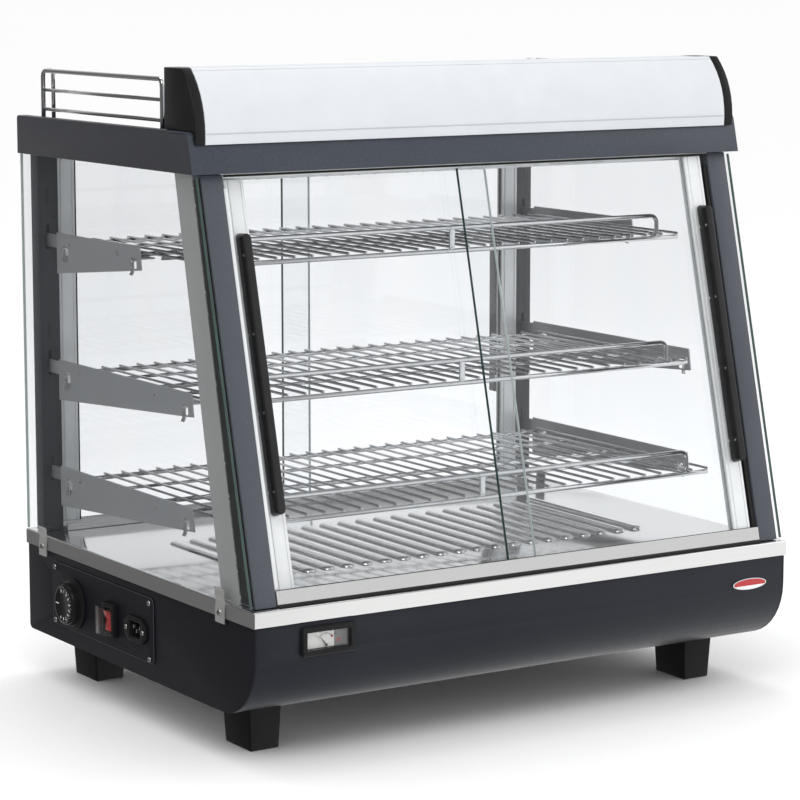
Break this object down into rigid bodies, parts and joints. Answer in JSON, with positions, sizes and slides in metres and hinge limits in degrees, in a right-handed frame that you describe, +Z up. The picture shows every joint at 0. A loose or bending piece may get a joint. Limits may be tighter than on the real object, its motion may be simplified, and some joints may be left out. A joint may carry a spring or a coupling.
{
  "type": "hot food display case",
  "caption": "Countertop hot food display case: glazed cabinet with sliding glass doors front and rear, wire shelves, a lit header and a heated base.",
  "frame": {"origin": "on the ground, under the middle of the deck", "axes": "+X to the right as seen from the front, +Y to the rear, +Z up; the glazed slanted front faces -Y"},
  "size_m": [0.6859, 0.5123, 0.681],
  "materials": {
    "dark_paint": "fine-textured charcoal powder coat",
    "side_paint": "black powder coat",
    "stainless": "brushed stainless steel",
    "chrome": "bright chrome plate",
    "aluminium": "satin anodised",
    "glass": "clear float glass",
    "white_plastic": "opal white",
    "black_plastic": "black, fine grain",
    "red_plastic": "red",
    "clear_plastic": "clear, slightly milky",
    "needle_red": "red enamel",
    "heater_steel": "heat-dulled steel"
  },
  "bodies": {
    "cabinet": {"badge": "red_plastic", "base_front": "dark_paint", "base_pan": "side_paint", "base_side_left": "side_paint", "base_side_right": "side_paint", "bracket_lower_left": "stainless", "bracket_lower_right": "stainless", "bracket_middle_left": "stainless", "bracket_middle_right": "stainless", "bracket_upper_left": "stainless", "bracket_upper_right": "stainless", "control_plate": "side_paint", "deck_pan": "stainless", "foot_front_left": "black_plastic", "foot_front_right": "black_plastic", "foot_rear_left": "black_plastic", "foot_rear_right": "black_plastic", "front_lower_rail": "stainless", "front_post_left": "dark_paint", "front_post_right": "dark_paint", "front_upper_track": "black_plastic", "guard_rail_left": "chrome", "guard_rail_right": "chrome", "heating_element": "heater_steel", "lamp_tube": "white_plastic", "light_back": "white_plastic", "light_diffuser": "white_plastic", "light_end_left": "black_plastic", "light_end_right": "black_plastic", "power_inlet": "black_plastic", "rear_lower_track": "aluminium", "rear_post_left": "dark_paint", "rear_post_right": "dark_paint", "rear_upper_track": "black_plastic", "shelf_lower": "chrome", "shelf_middle": "chrome", "shelf_upper": "chrome", "side_glass_left": "glass", "side_glass_right": "glass", "switch_cover": "clear_plastic", "switch_housing": "black_plastic", "thermometer_case": "black_plastic", "thermostat_body": "heater_steel", "top_cap_left": "side_paint", "top_cap_right": "side_paint", "top_fascia": "dark_paint", "top_plate": "side_paint"},
    "front_door_left": {"front_door_left_glass": "glass", "front_door_left_handle": "black_plastic", "front_door_left_stile": "aluminium"},
    "front_door_right": {"front_door_right_glass": "glass", "front_door_right_handle": "black_plastic", "front_door_right_stile": "aluminium"},
    "rear_door_left": {"rear_door_left_glass": "glass", "rear_door_left_stile": "aluminium"},
    "rear_door_right": {"rear_door_right_glass": "glass", "rear_door_right_stile": "aluminium"},
    "knob": {"thermostat_knob": "black_plastic"},
    "rocker": {"switch_rocker": "red_plastic"},
    "needle": {"thermometer_needle": "needle_red"}
  },
  "joints": [
    {"name": "front_door_left_slide", "type": "slide", "parent": "cabinet", "child": "front_door_left", "axis": [1, 0, 0], "range_m": [0, 0.25]},
    {"name": "front_door_right_slide", "type": "slide", "parent": "cabinet", "child": "front_door_right", "axis": [1, 0, 0], "range_m": [-0.25, 0]},
    {"name": "rear_door_left_slide", "type": "slide", "parent": "cabinet", "child": "rear_door_left", "axis": [1, 0, 0], "range_m": [0, 0.25]},
    {"name": "rear_door_right_slide", "type": "slide", "parent": "cabinet", "child": "rear_door_right", "axis": [1, 0, 0], "range_m": [-0.25, 0]},
    {"name": "knob_turn", "type": "hinge", "parent": "cabinet", "child": "knob", "pos_m": [-0.3321, 0.1375, 0.099], "axis": [1, 0, 0], "range_deg": [0, 270]},
    {"name": "rocker_tilt", "type": "hinge", "parent": "cabinet", "child": "rocker", "pos_m": [-0.3341, 0.047, 0.099], "axis": [0, 1, 0], "range_deg": [0, 16]},
    {"name": "needle_swing", "type": "hinge", "parent": "cabinet", "child": "needle", "pos_m": [-0.2485, -0.2505, 0.1205], "axis": [0, 1, 0], "range_deg": [0, 76]}
  ]
}
